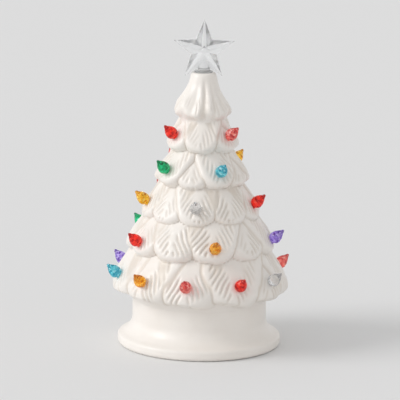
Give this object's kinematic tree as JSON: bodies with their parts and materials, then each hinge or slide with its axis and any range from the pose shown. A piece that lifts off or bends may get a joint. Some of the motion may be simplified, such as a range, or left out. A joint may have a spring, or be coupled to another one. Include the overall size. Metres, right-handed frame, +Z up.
{
  "type": "ceramic tabletop christmas tree",
  "caption": "White glazed ceramic tree of rounded boughs on a flared foot, with translucent bulbs, a clear star and a battery lamp base.",
  "frame": {"origin": "on the floor under the tree's axis, at the centre of the foot ring", "axes": "+Z up along the tree's axis, front of the tree towards -Y, +X to the right seen from the front"},
  "size_m": [0.13, 0.1351, 0.2329],
  "materials": {
    "glazed_ceramic": "satin glaze",
    "star_clear": "clear",
    "base_plastic": "fine texture",
    "seal_foam": "matte",
    "switch_black": "matte",
    "board_green": "satin",
    "diffuser_frosted": "frosted",
    "lamp_clear": "clear",
    "cell_jacket": "satin",
    "contact_metal": "plain",
    "lead_red": "satin",
    "lead_black": "satin",
    "bulb_red": "translucent",
    "bulb_pink": "translucent",
    "bulb_yellow": "translucent",
    "bulb_amber": "translucent",
    "bulb_green": "translucent",
    "bulb_cyan": "translucent",
    "bulb_purple": "translucent",
    "bulb_clear": "translucent"
  },
  "bodies": {
    "tree": {"base_plate": "base_plastic", "bulb_01_red": "bulb_red", "bulb_02_purple": "bulb_purple", "bulb_03_cyan": "bulb_cyan", "bulb_04_amber": "bulb_amber", "bulb_05_pink": "bulb_pink", "bulb_06_red": "bulb_red", "bulb_07_clear": "bulb_clear", "bulb_08_pink": "bulb_pink", "bulb_09_green": "bulb_green", "bulb_10_yellow": "bulb_yellow", "bulb_11_yellow": "bulb_yellow", "bulb_12_green": "bulb_green", "bulb_13_red": "bulb_red", "bulb_14_amber": "bulb_amber", "bulb_15_purple": "bulb_purple", "bulb_16_cyan": "bulb_cyan", "bulb_17_cyan": "bulb_cyan", "bulb_18_pink": "bulb_pink", "bulb_19_yellow": "bulb_yellow", "bulb_20_clear": "bulb_clear", "bulb_21_red": "bulb_red", "bulb_22_purple": "bulb_purple", "bulb_23_red": "bulb_red", "bulb_24_green": "bulb_green", "bulb_25_cyan": "bulb_cyan", "bulb_26_yellow": "bulb_yellow", "bulb_27_amber": "bulb_amber", "bulb_28_red": "bulb_red", "bulb_29_pink": "bulb_pink", "bulb_30_green": "bulb_green", "cell_1": "cell_jacket", "cell_2": "cell_jacket", "cell_3": "cell_jacket", "diffuser": "diffuser_frosted", "door_pin_1": "contact_metal", "door_pin_2": "contact_metal", "lamp_1": "lamp_clear", "lamp_2": "lamp_clear", "lamp_3": "lamp_clear", "lamp_board": "board_green", "lamp_post": "base_plastic", "lead_1": "lead_red", "lead_2": "lead_black", "leaf_contact_1": "contact_metal", "leaf_contact_2": "contact_metal", "leaf_contact_3": "contact_metal", "plate_contact_1": "contact_metal", "plate_contact_2": "contact_metal", "plate_contact_3": "contact_metal", "plate_seal": "seal_foam", "switch_housing": "switch_black", "tree_shell": "glazed_ceramic"},
    "star": {"star": "star_clear"},
    "battery_door": {"battery_door": "base_plastic"},
    "switch_knob": {"switch_knob": "switch_black"}
  },
  "joints": [
    {"name": "star_swivel", "type": "hinge", "parent": "tree", "child": "star", "pos_m": [0, 0, 0.1952], "axis": [0, 0, 1], "continuous": true},
    {"name": "battery_door_hinge", "type": "hinge", "parent": "tree", "child": "battery_door", "pos_m": [0, -0.01675, 0.0028], "axis": [-1, 0, 0], "range_deg": [0, 95]},
    {"name": "switch_slide", "type": "slide", "parent": "tree", "child": "switch_knob", "axis": [1, 0, 0], "range_m": [0, 0.004]}
  ]
}
